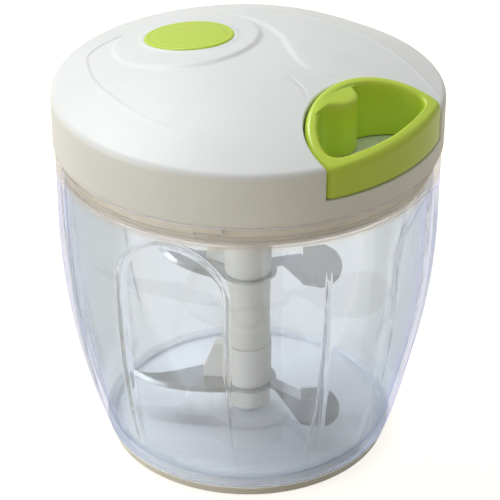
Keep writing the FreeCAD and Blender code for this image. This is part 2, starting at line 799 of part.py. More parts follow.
def make_clip(height, angle):
    # a collar that holds the blade down, with a tapered arm along the flat wing
    collar = cylinder(clip_radius, height, height + clip_height)
    x0 = clip_radius - 1.5
    low = height
    top = height + clip_height
    side = [V(x0, 0, low), V(clip_arm_length, 0, low), V(clip_arm_length, 0, low + 3),
            V(clip_arm_length - 4, 0, top - 2), V(x0, 0, top - 1), V(x0, 0, low)]
    arm = Part.Face(Part.makePolygon(side)).extrude(V(0, clip_arm_width, 0))
    arm.translate(V(0, -clip_arm_width / 2, 0))
    body = collar.fuse(turned(arm, angle))
    return body.cut(hexagon(core_flats, low - 1, top + 1))


def wing_edges(height, reach):
    # curved cutting wing along +X: a round belly on the leading side, a hollow back, a hooked tip
    root = blade_root_radius
    tip = V(reach, -1.6, height)
    front_root = V(*polar(root, 70), height)
    back_root = V(*polar(root, -80), height)
    belly = Part.BSplineCurve()
    belly.interpolate([front_root, V(reach * 0.42, blade_belly, height),
                       V(reach * 0.78, 0.62 * blade_belly, height), tip])
    back = Part.BSplineCurve()
    back.interpolate([tip, V(reach * 0.84, 0.17 * blade_belly, height),
                      V(reach * 0.56, -0.1 * blade_belly, height), back_root])
    closing = arc(back_root, V(-root, 0, height), front_root)
    return [belly.toShape(), back.toShape(), closing]


def make_blade(height, reach, flat_angle, paddle_angle, paddle_start, bend):
    # one sheet: a flat wing on one side, and on the other a tab whose neck turns down into an upright paddle
    flat = loop_prism(wing_edges(height, reach), blade_sheet)
    flat = flat.cut(edge_wedge(height, reach))
    low = height - paddle_drop
    high = low + paddle_height
    centre = (low + high) / 2
    top = height + blade_sheet
    neck_points = [V(neck_root, 0, height), V(neck_start, 0, height), V(paddle_start, 0, low + 1.0),
                   V(paddle_start, 0, top), V(neck_root, 0, top), V(neck_root, 0, height)]
    neck = Part.Face(Part.makePolygon(neck_points)).extrude(V(0, blade_sheet, 0))
    paddle_reach = paddle_start + paddle_width
    round_start = paddle_start + 0.45 * paddle_width
    edges = [
        line(V(paddle_start, 0, low + 1.0), V(round_start, 0, low)),
        arc(V(round_start, 0, low), V(paddle_reach, 0, centre), V(round_start, 0, high)),
        line(V(round_start, 0, high), V(paddle_start, 0, high - 1.0)),
        line(V(paddle_start, 0, high - 1.0), V(paddle_start, 0, low + 1.0)),
    ]
    paddle = Part.Face(Part.Wire(edges)).extrude(V(0, blade_sheet, 0))
    paddle.rotate(V(paddle_start, blade_sheet / 2, 0), UP, bend)
    knuckle = cylinder(blade_sheet / 2, low + 1.0, high - 1.0, paddle_start, blade_sheet / 2)
    tab = Part.makeBox(paddle_start, tab_width, blade_sheet, V(0, 0, height))
    upright = tab.fuse([neck, paddle, knuckle])
    blade = turned(flat, flat_angle).fuse(turned(upright, paddle_angle))
    return blade.cut(hexagon(core_flats, height - 1, height + 3))


def edge_wedge(height, reach):
    # the ground bevel along the belly: a thin slanted slice over the leading edge
    path = wing_edges(height + blade_sheet, reach)[0]
    start = path.valueAt(path.FirstParameter)
    tangent = path.tangentAt(path.FirstParameter)
    side = UP.cross(tangent).normalize()
    inward = side * -1 if side.dot(V(0, 1, 0)) > 0 else side
    a = start + inward * edge_bevel_width
    b = start - inward * 1.0
    c = b - UP * (edge_bevel_depth * (1 + 1.0 / edge_bevel_width))
    section = Part.makePolygon([a, b + UP * 0.5, c, a])
    return Part.Wire([path]).makePipeShell([section], True, False)


def main():
    os.makedirs("parts", exist_ok=True)
    save(make_bowl(), "bowl")
    save(make_base(), "non_slip_base")
    save(make_pivot_pin(), "pivot_pin")
    save(make_lid_shell(), "lid_shell")
    save(make_lid_base(), "lid_base")
    save(make_lid_seal(), "lid_seal")
    save(make_badge(), "lid_button_cap")
    save(make_eyelet(), "cord_eyelet")
    save(make_axle(), "reel_axle")
    save(make_lid_screws(), "lid_screws")
    save(make_recoil_spring(), "recoil_spring")
    save(make_reel(), "cord_reel")
    save(make_wound_cord(), "wound_cord")
    save(make_cord_lead(), "cord_lead")
    save(make_hub(), "drive_hub")
    save(make_pawl_pins(), "pawl_pins")
    pawl = make_pawl()
    save(pawl, "pawl_a")
    save(turned(pawl, 180), "pawl_b")
    leaf = make_pawl_spring()
    save(leaf, "pawl_spring_a")
    save(turned(leaf, 180), "pawl_spring_b")
    save(make_handle(), "pull_handle")
    save(make_knot(), "cord_knot")
    save(make_spindle(), "rotor_spindle")
    save(make_bush(), "rotor_bush")
    lower_blade = lower_blade_height
    upper_blade = upper_blade_height
    save(sleeve(sleeve_radius, rotor_bottom, lower_blade), "foot_sleeve")
    save(make_blade(lower_blade, lower_blade_reach, lower_flat_angle,
                    lower_paddle_angle, lower_paddle_start, lower_paddle_bend), "lower_blade")
    save(make_clip(lower_blade + blade_sheet, lower_flat_angle), "lower_blade_clip")
    save(sleeve(sleeve_radius - 0.2, lower_blade + blade_sheet + clip_height, upper_blade - seat_height),
         "middle_sleeve")
    save(sleeve(sleeve_radius, upper_blade - seat_height, upper_blade), "blade_seat_sleeve")
    save(make_blade(upper_blade, upper_blade_reach, upper_flat_angle,
                    upper_paddle_angle, upper_paddle_start, upper_paddle_bend), "upper_blade")
    save(make_clip(upper_blade + blade_sheet, upper_flat_angle), "upper_blade_clip")
    save(sleeve(sleeve_radius, upper_blade + blade_sheet + clip_height, core_top), "upper_sleeve")


main()
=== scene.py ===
import json
import math

import bmesh
import bpy
import numpy as np
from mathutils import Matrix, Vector


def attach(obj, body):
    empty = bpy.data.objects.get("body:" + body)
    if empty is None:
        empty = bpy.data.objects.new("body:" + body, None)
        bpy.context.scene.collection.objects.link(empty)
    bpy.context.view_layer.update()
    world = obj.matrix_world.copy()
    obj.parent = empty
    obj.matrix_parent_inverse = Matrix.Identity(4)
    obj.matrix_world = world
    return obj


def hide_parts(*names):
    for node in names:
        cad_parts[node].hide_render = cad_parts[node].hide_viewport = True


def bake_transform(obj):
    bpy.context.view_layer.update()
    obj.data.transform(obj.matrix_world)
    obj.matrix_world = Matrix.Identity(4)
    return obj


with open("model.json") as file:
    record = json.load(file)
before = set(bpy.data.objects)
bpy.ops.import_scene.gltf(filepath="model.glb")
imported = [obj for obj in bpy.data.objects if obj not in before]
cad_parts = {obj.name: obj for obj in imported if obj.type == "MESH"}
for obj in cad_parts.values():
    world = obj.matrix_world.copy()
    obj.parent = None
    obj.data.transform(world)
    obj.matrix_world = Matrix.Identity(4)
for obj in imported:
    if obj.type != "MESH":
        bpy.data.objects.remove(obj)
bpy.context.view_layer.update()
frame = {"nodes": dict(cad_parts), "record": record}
nodes = frame["nodes"]
mm = 0.001


# ---- shader values that take arithmetic ----

class Wire:
    def __init__(self, tree, socket):
        self.tree = tree
        self.socket = socket

    def feed(self, target, value):
        if isinstance(value, Wire):
            self.tree.links.new(value.socket, target)
        else:
            target.default_value = value

    def node(self, kind, inputs, output=0, **settings):
        made = self.tree.nodes.new("ShaderNode" + kind)
        for key, value in settings.items():
            setattr(made, key, value)
        for key, value in inputs.items():
            self.feed(made.inputs[key], value)
        return Wire(self.tree, made.outputs[output])

    def math(self, operation, a, b=0.0, c=0.0):
        return self.node("Math", {0: a, 1: b, 2: c}, operation=operation)

    def __add__(self, other):
        return self.math("ADD", self, other)

    def __radd__(self, other):
        return self.math("ADD", other, self)

    def __sub__(self, other):
        return self.math("SUBTRACT", self, other)

    def __mul__(self, other):
        return self.math("MULTIPLY", self, other)

    def part(self, name):
        return self.node("SeparateXYZ", {0: self}, "XYZ".index(name))

    def stretch(self, x, y, z):
        return self.node("VectorMath", {0: self, 1: (x, y, z)}, operation="MULTIPLY")

    def noise(self, size, detail=2.0, rough=0.5):
        # size is the width of one blotch in millimetres
        inputs = {"Vector": self, "Scale": 1000.0 / size, "Detail": detail, "Roughness": rough}
        return self.node("TexNoise", inputs)

    def ramp(self, low, high, toLow=0.0, toHigh=1.0):
        return self.node("MapRange", {0: self, 1: low, 2: high, 3: toLow, 4: toHigh})

    def mix(self, a, b):
        return self.node("Mix", {0: self, 6: a, 7: b}, 2, data_type="RGBA")

    def bump(self, strength, depth):
        # depth in millimetres
        return self.node("Bump", {"Strength": strength, "Distance": depth * mm, "Height": self})


def colour(hexText):
    # screen colour to the shader's linear values
    parts = [int(hexText[k:k + 2], 16) / 255 for k in (0, 2, 4)]
    return tuple(((p + 0.055) / 1.055) ** 2.4 if p > 0.04045 else p / 12.92 for p in parts) + (1.0,)


def material(name, fixed, pattern):
    made = bpy.data.materials.new(name)
    made.use_nodes = True
    tree = made.node_tree
    shader = tree.nodes["Principled BSDF"]
    for key, value in fixed.items():
        shader.inputs[key].default_value = value
    place = Wire(tree, None).node("TexCoord", {}, 3)
    for key, value in pattern(place).items():
        place.feed(shader.inputs[key], value)
    return made


def moulded(name, base, shade, roughness, grain=0.02, gloss=0.5, scatter=0.0):
    # injection moulded plastic: cloudy tint, fine grain, handling marks in the gloss
    def pattern(place):
        cloud = place.noise(28, 3)
        grainy = place.noise(0.8, 3, 0.6)
        marks = place.stretch(1, 1, 0.25).noise(6, 5, 0.65)
        tone = cloud.ramp(0.3, 0.7) * 0.7 + grainy * 0.3
        return {
            "Base Color": tone.mix(colour(base), colour(shade)),
            "Roughness": roughness + (marks - 0.5) * 0.16 + (cloud - 0.5) * 0.06,
            "Normal": (grainy * 0.6 + marks * 0.4).bump(grain * 10, 0.03),
        }
    fixed = {"IOR": 1.5, "Specular IOR Level": gloss}
    if scatter:
        fixed.update({"Subsurface Weight": scatter, "Subsurface Scale": 0.004})
    return material(name, fixed, pattern)


def ground(name, base, shade, roughness, along):
    # steel with the fine lines of its last grinding along one direction
    def pattern(place):
        lines = place.stretch(*along).noise(0.5, 4, 0.7)
        cloud = place.noise(14, 3)
        return {
            "Base Color": (lines * 0.6 + cloud * 0.4).mix(colour(base), colour(shade)),
            "Roughness": roughness + (lines - 0.5) * 0.22 + (cloud - 0.5) * 0.1,
            "Normal": lines.bump(0.12, 0.02),
        }
    return material(name, {"Metallic": 1.0, "Anisotropic": 0.35}, pattern)


def softRubber(place):
    grainy = place.noise(0.6, 4, 0.7)
    scuffs = place.stretch(1, 1, 5).noise(9, 4)
    tone = scuffs.ramp(0.35, 0.75) * 0.6 + grainy * 0.4
    return {
        "Base Color": tone.mix(colour("edebe4"), colour("e1ded6")),
        "Roughness": 0.5 + (scuffs - 0.5) * 0.2,
        "Normal": grainy.bump(0.3, 0.05),
    }


def braid(place):
    # two sets of slanted strands round the cord
    x, y, z = [place.part(axis) for axis in "XYZ"]
    run, girth = x * 2600, (y + z) * 1500
    slant = run.math("SINE", run + girth)
    cross = run.math("SINE", run - girth)
    strands = slant.math("MAXIMUM", slant, cross)
    fuzz = place.noise(0.4, 3)
    return {
        "Base Color": (strands * 0.3 + fuzz * 0.5 + 0.1).mix(colour("cfcdc6"), colour("f1f0ec")),
        "Roughness": 0.75 + (fuzz - 0.5) * 0.2,
        "Normal": (strands + fuzz * 0.4).bump(0.6, 0.15),
    }


def clearPlastic():
    # clear moulded plastic: a cool tint, painted paler in the floor as light against the shade the lid
    # casts there, painted darker and warmer in the rim as the shade round the lid's plug behind it, faint
    # flow lines and rubbing, a cloudy floor, and painted highlights as pale lines round the rim and the
    # ledge below it
    def pattern(place):
        height = place.part("Z")
        wall = place.noise(30, 2).mix(colour("e5e9f0"), colour("e1e5ed"))
        # painted light: the floor band is painted paler than the wall, lifting the shade the lid casts
        # into the bowl
        low = height.ramp(0.0048, 0.0056).mix(colour("f8f7f4"), wall)
        flow = place.stretch(1, 1, 0.3).noise(11, 2) * 0.8 + place.noise(1.2, 3) * 0.1
        return {
            # painted shade: the rim band is painted darker and warmer for the lid's plug standing in shade
            # behind it
            "Base Color": height.ramp(0.104, 0.107).mix(low, colour("ded9d1")),
            "Roughness": 0.02 + place.stretch(1, 1, 0.2).noise(5, 5, 0.7).ramp(0.45, 0.8) * 0.06,
            "Normal": flow.bump(0.3, 0.12),
        }
    made = material("clearPlastic", {"Transmission Weight": 1.0, "IOR": 1.36}, pattern)
    tree = made.node_tree
    start = Wire(tree, None)
    height = start.node("TexCoord", {}, 3).part("Z")
    grazing = start.node("LayerWeight", {"Blend": 0.5}, 1)
    cool = grazing.ramp(0.6, 1.0).mix(colour("ebf0f5"), colour("e6e6f8"))
    # painted shade: the transparent tint turns darker and warmer in the rim band for the shaded plug
    # behind it
    tint = height.ramp(0.104, 0.107).mix(cool, colour("eae5dc"))
    along = start.node("BsdfTransparent", {0: tint})
    shader = Wire(tree, tree.nodes["Principled BSDF"].outputs[0])
    soft = height.ramp(0.0049, 0.0053) * height.ramp(0.016, 0.011) * 0.35
    body = start.node("MixShader", {0: grazing.ramp(0.3, 0.85, 0.15, 0.85) + soft, 1: shader, 2: along})
    # painted highlight: a pale diffuse is laid in thin bands round the rim top and at the ledge, standing
    # in for light carried along the wall; in the floor the same diffuse makes the floor cloudy
    hazeAndPaintedLines = start.node("BsdfDiffuse", {0: height.ramp(0.05, 0.1).mix(colour("fcfdfe"), colour("f4f2ff"))})
    ledge = height.ramp(0.10625, 0.10655) * height.ramp(0.10715, 0.10685)
    # shares: the cloudy floor, a painted highlight line round the rim top, and a painted highlight line at
    # the ledge
    hazeAndPaintedLineShare = height.ramp(0.0053, 0.0048, 0.0, 0.45) + height.ramp(0.1128, 0.1131, 0.0, 0.7) + ledge * 0.45
    hazedWithPaintedLines = start.node("MixShader", {0: hazeAndPaintedLineShare, 1: body, 2: hazeAndPaintedLines})
    through = start.node("BsdfTransparent", {0: colour("fcfcfe")})
    both = start.node("MixShader", {0: start.node("LightPath", {}, 1), 1: hazedWithPaintedLines, 2: through})
    depth = start.node("VolumeAbsorption", {"Color": colour("d6dcee"), "Density": 3.0})
    target = tree.nodes["Material Output"]
    start.feed(target.inputs["Surface"], both)
    start.feed(target.inputs["Volume"], depth)
    return made


materials = {
    "clear_plastic": clearPlastic(),
    "base_rubber": material("baseRubber", {"IOR": 1.5}, softRubber),
    "steel": ground("groundSteel", "c6c7c9", "a6a8ab", 0.3, (1, 1, 0.15)),
    "spring_steel": ground("springSteel", "8f95a0", "6f7582", 0.34, (1, 1, 0.1)),
    "blade_steel": ground("bladeSteel", "c0beb8", "a6a39d", 0.2, (0.2, 1, 1)),
    "lid_plastic": moulded("lidPlastic", "f3f4f2", "ecedea", 0.42, gloss=0.35, scatter=0.05),
    "seal_rubber": moulded("sealRubber", "e3e4e4", "d6d8da", 0.5, grain=0.03),
    "lime_plastic": moulded("limePlastic", "cfe64c", "c8df44", 0.3, gloss=0.5, scatter=0.25),
    "white_nylon": moulded("whiteNylon", "e0dacb", "d5cfc0", 0.42, scatter=0.08),
    "grey_nylon": moulded("greyNylon", "b9bbbd", "a7a9ac", 0.45),
    "cord": material("braidedCord", {"IOR": 1.45}, braid),
}
for part in frame["record"]["subparts"]:
    mesh = nodes[part["node"]].data
    mesh.materials.clear()
    mesh.materials.append(materials[part["material_slot"]])
print("materials made")


# ---- mesh helpers: everything is drawn in millimetres ----

def wheel(slots, steps, first=0):
    # rings one unit apart, spun from a row of edges: a slot and an angle for each vertex
    bm = bmesh.new()
    row = [bm.verts.new((slot, 0, 0)) for slot in range(first, slots)]
    for pair in zip(row, row[1:]):
        bm.edges.new(pair)
    bmesh.ops.spin(bm, geom=bm.verts[:] + bm.edges[:], axis=(0, 0, 1), cent=(0, 0, 0),
                   angle=math.tau, steps=steps, use_merge=True)
    bmesh.ops.remove_doubles(bm, verts=bm.verts, dist=0.0001)
    return bm


def shaped(bm, place):
    # moves each vertex of a wheel to where its slot and angle belong
    flat = np.array([v.co[:2] for v in bm.verts])
    slot = np.rint(np.hypot(flat[:, 0], flat[:, 1])).astype(int)
    angle = np.arctan2(flat[:, 1], flat[:, 0])
    for vert, spot in zip(bm.verts, np.stack(place(slot, angle), axis=1)):
        vert.co = spot
    return bm


def addPiece(bm, name, body, slot, replaced=(), sharp=38):
    bmesh.ops.remove_doubles(bm, verts=bm.verts, dist=0.002)
    bmesh.ops.recalc_face_normals(bm, faces=bm.faces)
    bmesh.ops.scale(bm, vec=(mm, mm, mm), verts=bm.verts)
    mesh = bpy.data.meshes.new(name)
    bm.to_mesh(mesh)
    bm.free()
    mesh.shade_smooth()
    mesh.set_sharp_from_angle(angle=math.radians(sharp))
    mesh.materials.append(materials[slot])
    piece = bpy.data.objects.new(name, mesh)
    bpy.context.scene.collection.objects.link(piece)
    if body:
        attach(piece, body)
    if replaced:
        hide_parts(*replaced)
    print(name, len(mesh.polygons), "faces")
    return piece


def smooth(value, low, high):
    share = np.clip((value - low) / (high - low), 0, 1)
    return share * share * (3 - 2 * share)


def ridge(distance, height, width):
    return height * np.exp(-(distance / width) ** 2)


def curved(points, count=10):
    # a smooth line of points through the given ones
    ends = [points[0]] + list(points) + [points[-1]]
    out = []
    for a, b, c, d in zip(ends, ends[1:], ends[2:], ends[3:]):
        a, b, c, d = map(np.array, (a, b, c, d))
        for t in np.arange(count) / count:
            out.append(0.5 * (2 * b + (c - a) * t + (2 * a - 5 * b + 4 * c - d) * t ** 2
                              + (3 * b - a - 3 * c + d) * t ** 3))
    return out + [np.array(points[-1], float)]


def beside(x, y, line):
    # distance to a line of points, positive to its left
    best = np.full(x.shape, 1e9)
    side = np.zeros(x.shape)
    for (ax, ay), (bx, by) in zip(line, line[1:]):
        dx, dy = bx - ax, by - ay
        t = np.clip(((x - ax) * dx + (y - ay) * dy) / (dx * dx + dy * dy), 0, 1)
        px, py = x - ax - t * dx, y - ay - t * dy
        gap = np.hypot(px, py)
        near = gap < best
        side = np.where(near, np.where(dx * (y - ay) - dy * (x - ax) > 0, 1.0, -1.0), side)
        best = np.where(near, gap, best)
    return best * side


def rooted(inside, low, high):
    # where an inside test stops holding, for each angle
    for _ in range(40):
        middle = (low + high) / 2
        within = inside(middle)
        low = np.where(within, middle, low)
        high = np.where(within, high, middle)
    return (low + high) / 2


# ---- lid ----

lid = {
    "radius": 65.0, "bottom": 114.0, "edge": 131.8, "rise": 12.7, "shoulder": 2.8, "shelf": 120.9,
    "notchX": 58.1, "notchDepth": 24.8, "notchFront": 27.8, "notchBack": 28.5, "notchBulge": 3.0,
    "notchRound": 0.5, "rayBend": 0.0004, "raySpread": 0.45, "crown": 61.0, "crownGap": 1.2,
    "shelfFall": 0.5, "steps": 560,
    "outerLine": [(-45.8, -3.0), (-49.3, -10.5), (-50.6, -18.6), (-48.6, -25.8), (-44.4, -30.3),
                  (-37.5, -35.6), (-30.2, -39.9), (-22.3, -43.2), (-8.8, -46.7), (4.4, -47.9),
                  (19.4, -46.5)],
    "innerLine": [(-34.5, 17.3), (-28.1, 21.1), (-22.6, 22.5), (-15.3, 21.7), (-6.8, 18.8), (0.5, 15.7),
                  (6.7, 11.6), (13.1, 7.4), (18.8, 5.1), (23.9, 5.0), (30.4, 7.9), (39.2, 14.3)],
    "shortLine": [(22.0, -4.0), (25.7, -4.8), (29.4, -5.9), (32.2, -8.0)],
    "creaseLine": [(-8.6, -63.3), (-7.9, -62.1), (-5.0, -56.6), (-1.1, -50.3)],
    "padX": -24.3, "padY": -3.9, "padRadius": 24.5, "padRise": 0.4,
    "sink": {"depth": 0.46, "alongX": 0.0036, "alongY": 0.0098},
    "far": {"x": -9.1, "y": 41.1, "cos": 0.9935, "sin": 0.1135, "bow": 5.2, "length": 61, "fall": 0.075},
    "fan": -40.0, "slots": {"top": 132, "turn": 14, "drop": 4, "shelf": 8, "wall": 4, "lip": 4},
}
cap = {"x": -23.2, "y": -3.8, "length": 31.4, "width": 25.6, "turn": math.radians(15.3), "proud": 0.6,
       "round": 0.7, "side": 0.8, "slots": (24, 8, 3), "steps": 160}
domeRadius = (lid["radius"] ** 2 + lid["rise"] ** 2) / (2 * lid["rise"])
domeCentre = lid["edge"] + lid["rise"] - domeRadius


def domeHeight(x, y):
    r = np.minimum(np.hypot(x, y), lid["radius"])
    hub = lid["radius"] - lid["shoulder"]
    level = domeCentre + math.sqrt((domeRadius - lid["shoulder"]) ** 2 - hub ** 2)
    turn = hub * domeRadius / (domeRadius - lid["shoulder"])
    rounded = level + np.sqrt(np.maximum(lid["shoulder"] ** 2 - (r - hub) ** 2, 0))
    return np.where(r < turn, domeCentre + np.sqrt(domeRadius ** 2 - r ** 2), rounded)


def capReach(x, y):
    # distance outside the cap's oval, near enough
    u = (x - cap["x"]) * math.cos(cap["turn"]) + (y - cap["y"]) * math.sin(cap["turn"])
    v = (y - cap["y"]) * math.cos(cap["turn"]) - (x - cap["x"]) * math.sin(cap["turn"])
    share = np.hypot(u / cap["length"], v / cap["width"]) * 2
    return (share - 1) * (cap["length"] + cap["width"]) / 4


def lidSurface(x, y):
    dome = domeHeight(x, y)
    # the swept field round the pad, sunk a little, deepest behind the cap
    outer = beside(x, y, curved(lid["outerLine"]))
    sunk = smooth(outer, -0.35, 0.45)
    sunk = sunk * smooth(-beside(x, y, curved(lid["innerLine"])), -1.2, 1.2)
    sink = lid["sink"]
    depth = np.maximum(sink["depth"] - sink["alongX"] * x + sink["alongY"] * y, 0)
    z = dome - depth * sunk + ridge(outer + 0.9, 0.1, 0.6)
    # the far shoulder falls away beyond a soft crease
    far = lid["far"]
    across = (x - far["x"]) * far["sin"] + (y - far["y"]) * far["cos"]
    along = (x - far["x"]) * far["cos"] - (y - far["y"]) * far["sin"]
    beyond = across - far["bow"] * np.sin(np.pi * np.clip(along / far["length"], 0, 1))
    fade = smooth(along, -45, 5)
    z = z - far["fall"] * np.maximum(beyond, 0) * fade + ridge(beyond, 0.3, 0.8) * fade
    # pad, the lip round the cap, a faint crease at the front, and the short line by the handle
    pad = smooth(lid["padRadius"] - np.hypot(x - lid["padX"], y - lid["padY"]), -1.0, 0.8)
    z = z + (dome + lid["padRise"] - z) * pad
    z = z + ridge(capReach(x, y) - 0.8, 0.25, 0.55)
    z = z - ridge(beside(x, y, lid["creaseLine"]), 0.1, 0.7)
    return z - ridge(beside(x, y, lid["shortLine"]), 0.2, 0.5)


def fanSpot(reach, angle):
    # place along a ray from the fan's centre; near the notch the rays bend towards the handle's direction
    x, y = lid["fan"] + reach * np.cos(angle), reach * np.sin(angle)
    return x, y / np.exp(lid["rayBend"] * np.maximum(x - 30, 0) ** 2)


def fanReach(angle, radius):
    return rooted(lambda r: np.hypot(*fanSpot(r, angle)) < radius, np.zeros(angle.shape),
                  np.full(angle.shape, 130.0))


def notchReach(angle, limit):
    # from the fan's centre to the handle's notch, or to the lid's own edge
    def clear(r):
        x, y = fanSpot(r, angle)
        off = y - lid["notchBulge"]
        behind = lid["notchBack"] - lid["notchBulge"]
        ahead = lid["notchFront"] + lid["notchBulge"]
        share = off / np.where(off > 0, behind, ahead)
        bend = np.sqrt(np.maximum(1 - share ** 2, 0))
        return (x < lid["notchX"] - lid["notchDepth"] * bend) | (np.abs(share) > 1)
    return rooted(clear, np.zeros(angle.shape), limit)


def lidPlace(slot, angle):
    # profile from the crown outwards, down the notch, over the shelf, down the side and in at the lip
    count = lid["slots"]
    stops = np.cumsum([0] + list(count.values()))
    angle = angle - lid["raySpread"] * np.sin(angle)
    edge = fanReach(angle, lid["radius"])
    reach = notchReach(angle, edge)
    cut = reach < edge - 0.01
    inner = np.minimum(fanReach(angle, lid["crown"]), reach - lid["crownGap"])
    share = [np.clip((slot - a) / (b - a), 0, 1) for a, b in zip(stops, stops[1:])]
    r = inner * share[0] + (reach - inner) * np.sin(share[1] * np.pi / 2)
    x, y = fanSpot(r, angle)
    nearEdge = np.minimum(reach - r, lid["notchRound"])
    edgeDrop = lid["notchRound"] - np.sqrt(lid["notchRound"] ** 2 - (lid["notchRound"] - nearEdge) ** 2)
    z = lidSurface(x, y) - np.where(cut, edgeDrop, 0)
    z = z + (lid["shelf"] - z) * share[2]
    onShelf = slot > stops[3]
    r = np.where(onShelf, reach + (edge - reach) * np.minimum(share[3] * 1.15, 1), r)
    shelfEdge = lid["shelf"] - lid["shelfFall"]
    z = np.where(onShelf, lid["shelf"] - np.where(cut, share[3] ** 8, share[3]) * lid["shelfFall"], z)
    z = np.where(slot > stops[4], shelfEdge + (lid["bottom"] + 0.9 - lid["shelf"]) * share[4], z)
    x, y = fanSpot(r, angle)
    lip = [(64.9, 114.15), (64.6, 114.0), (62.8, 114.0), (62.8, 116.2)]
    for k, (lipRadius, level) in enumerate(lip):
        here = slot == stops[5] + 1 + k
        x = np.where(here, x * lipRadius / lid["radius"], x)
        y = np.where(here, y * lipRadius / lid["radius"], y)
        z = np.where(here, level, z)
    return x, y, z


lidDome = shaped(wheel(sum(lid["slots"].values()) + 1, lid["steps"]), lidPlace)
addPiece(lidDome, "lidDome", "lid", "lid_plastic", ["lid_shell"])


def capPlace(slot, angle):
    # a thick oval, rounded at its edge, parallel to the dome
    crown, turn, side = cap["slots"]
    part = np.clip((slot - crown) / turn, 0, 1)
    grow = 1 - cap["round"] / (cap["length"] / 2)
    share = np.clip(slot / crown, 0, 1) * grow + (1 - grow) * np.sin(part * np.pi / 2)
    drop = cap["round"] * (1 - np.cos(part * np.pi / 2))
    drop = drop + np.clip((slot - crown - turn) / side, 0, 1) * cap["side"]
    u, v = share * cap["length"] / 2 * np.cos(angle), share * cap["width"] / 2 * np.sin(angle)
    x = cap["x"] + u * math.cos(cap["turn"]) - v * math.sin(cap["turn"])
    y = cap["y"] + u * math.sin(cap["turn"]) + v * math.cos(cap["turn"])
    groove = ridge(share - 0.86, 0.18, 0.035)
    return x, y, domeHeight(x, y) + lid["padRise"] + cap["proud"] - drop - groove


buttonCap = shaped(wheel(sum(cap["slots"]) + 1, cap["steps"]), capPlace)
addPiece(buttonCap, "buttonCap", "lid", "lime_plastic", ["lid_button_cap"])


# ---- handle ----

handle = {
    "centre": 52.0, "outer": 64.8, "x": 58.1, "depth": 24.3, "front": 27.3, "back": 28.0, "bulge": 3.0,
    "wall": 4.0, "bottom": 121.2, "proud": 1.2, "lean": 10.0, "outerRound": 2.0, "innerRound": 1.3,
    "outerSoft": 1.4, "innerSoft": 4.4, "wallTop": 2.4, "ringSteps": 420, "bossX": 38.1, "bossY": 1.2,
    "bossRadius": 6.1, "bossProud": 0.8, "bossFillet": (8.0, 1.0), "bossSlots": 13, "bossSteps": 160,
}


def aboveDome(x, y, proud, lean=0.0):
    return domeCentre + np.sqrt((domeRadius + proud) ** 2 - x ** 2 - (y - lean) ** 2)


def insideBend(x, y, shrink):
    # distance outside the ring's bend towards the lid's centre, near enough
    off = y - handle["bulge"]
    behind = handle["back"] - handle["bulge"]
    ahead = handle["front"] + handle["bulge"]
    width = np.where(off > 0, behind, ahead) - shrink
    u = np.minimum((x - handle["x"]) / (handle["depth"] - shrink), 0)
    return (np.hypot(u, off / width) - 1) * (handle["depth"] - shrink)


def ringReach(angle, shrink, soften):
    # from the ring's middle to its outline: the lid's round outside, a bend inside, corners softened
    def within(r):
        x, y = handle["centre"] + r * np.cos(angle), r * np.sin(angle)
        outside = np.hypot(x, y) - handle["outer"] + shrink
        bend = insideBend(x, y, shrink)
        spread = np.maximum(soften - np.abs(outside - bend), 0) / soften
        return np.maximum(outside, bend) + spread ** 2 * soften / 4 < 0
    return rooted(within, np.zeros(angle.shape), np.full(angle.shape, 45.0))


def ringProfile():
    # a part of the section, how far it lies in from its own side, and its level: down from the top for
    # outer and inner, up from the bottom for low, and a share of the height for rise and fall
    a, b = handle["outerRound"], handle["innerRound"]
    turns = [k * math.pi / 20 for k in range(11)]
    points = [("low", 0.6, 0.0), ("low", 0.0, 0.5), ("rise", 0.0, 0.4), ("rise", 0.0, 0.8)]
    points += [("outer", a - a * math.cos(t), a - a * math.sin(t)) for t in turns]
    points += [("inner", b - b * math.sin(t), b - b * math.cos(t)) for t in turns]
    points += [("fall", 0.0, 0.8), ("fall", 0.0, 0.4), ("lowInner", 0.0, 0.5), ("lowInner", 0.6, 0.0)]
    return points + points[:1]


def ringPlace(slot, angle):
    outer = ringReach(angle, 0, handle["outerSoft"])
    inner = ringReach(angle, handle["wall"], handle["innerSoft"])
    r, z = np.zeros(slot.shape), np.zeros(slot.shape)
    for k, (side, across, level) in enumerate(ringProfile(), 1):
        reach = inner + across if side in ("inner", "fall", "lowInner") else outer - across
        x, y = handle["centre"] + reach * np.cos(angle), reach * np.sin(angle)
        top = aboveDome(x, y, handle["proud"], handle["lean"])
        if side in ("outer", "inner"):
            height = top - level
        elif side in ("rise", "fall"):
            height = handle["bottom"] + (top - handle["wallTop"] - handle["bottom"]) * level
        else:
            height = handle["bottom"] + level
        r, z = np.where(slot == k, reach, r), np.where(slot == k, height, z)
    return handle["centre"] + r * np.cos(angle), r * np.sin(angle), z


def bossReach(angle):
    # round towards the ring's middle, with a wide fillet at the front that runs out along the ring's wall
    reach, still = np.zeros(angle.shape), np.ones(angle.shape, bool)
    front, back = handle["bossFillet"]
    fillet = front + (back - front) * smooth(np.sin(angle), -0.2, 0.4)
    for r in np.linspace(0, 15, 400):
        x, y = handle["bossX"] + r * np.cos(angle), handle["bossY"] + r * np.sin(angle)
        wall = -insideBend(x, y, handle["wall"])
        near = np.maximum(fillet - np.abs(r - handle["bossRadius"] - wall), 0) / fillet
        depth = np.minimum(r - handle["bossRadius"], wall) - near ** 2 * fillet / 4
        still = still & (depth < 0) & (wall > -1.6)
        reach = np.where(still, r, reach)
    return reach


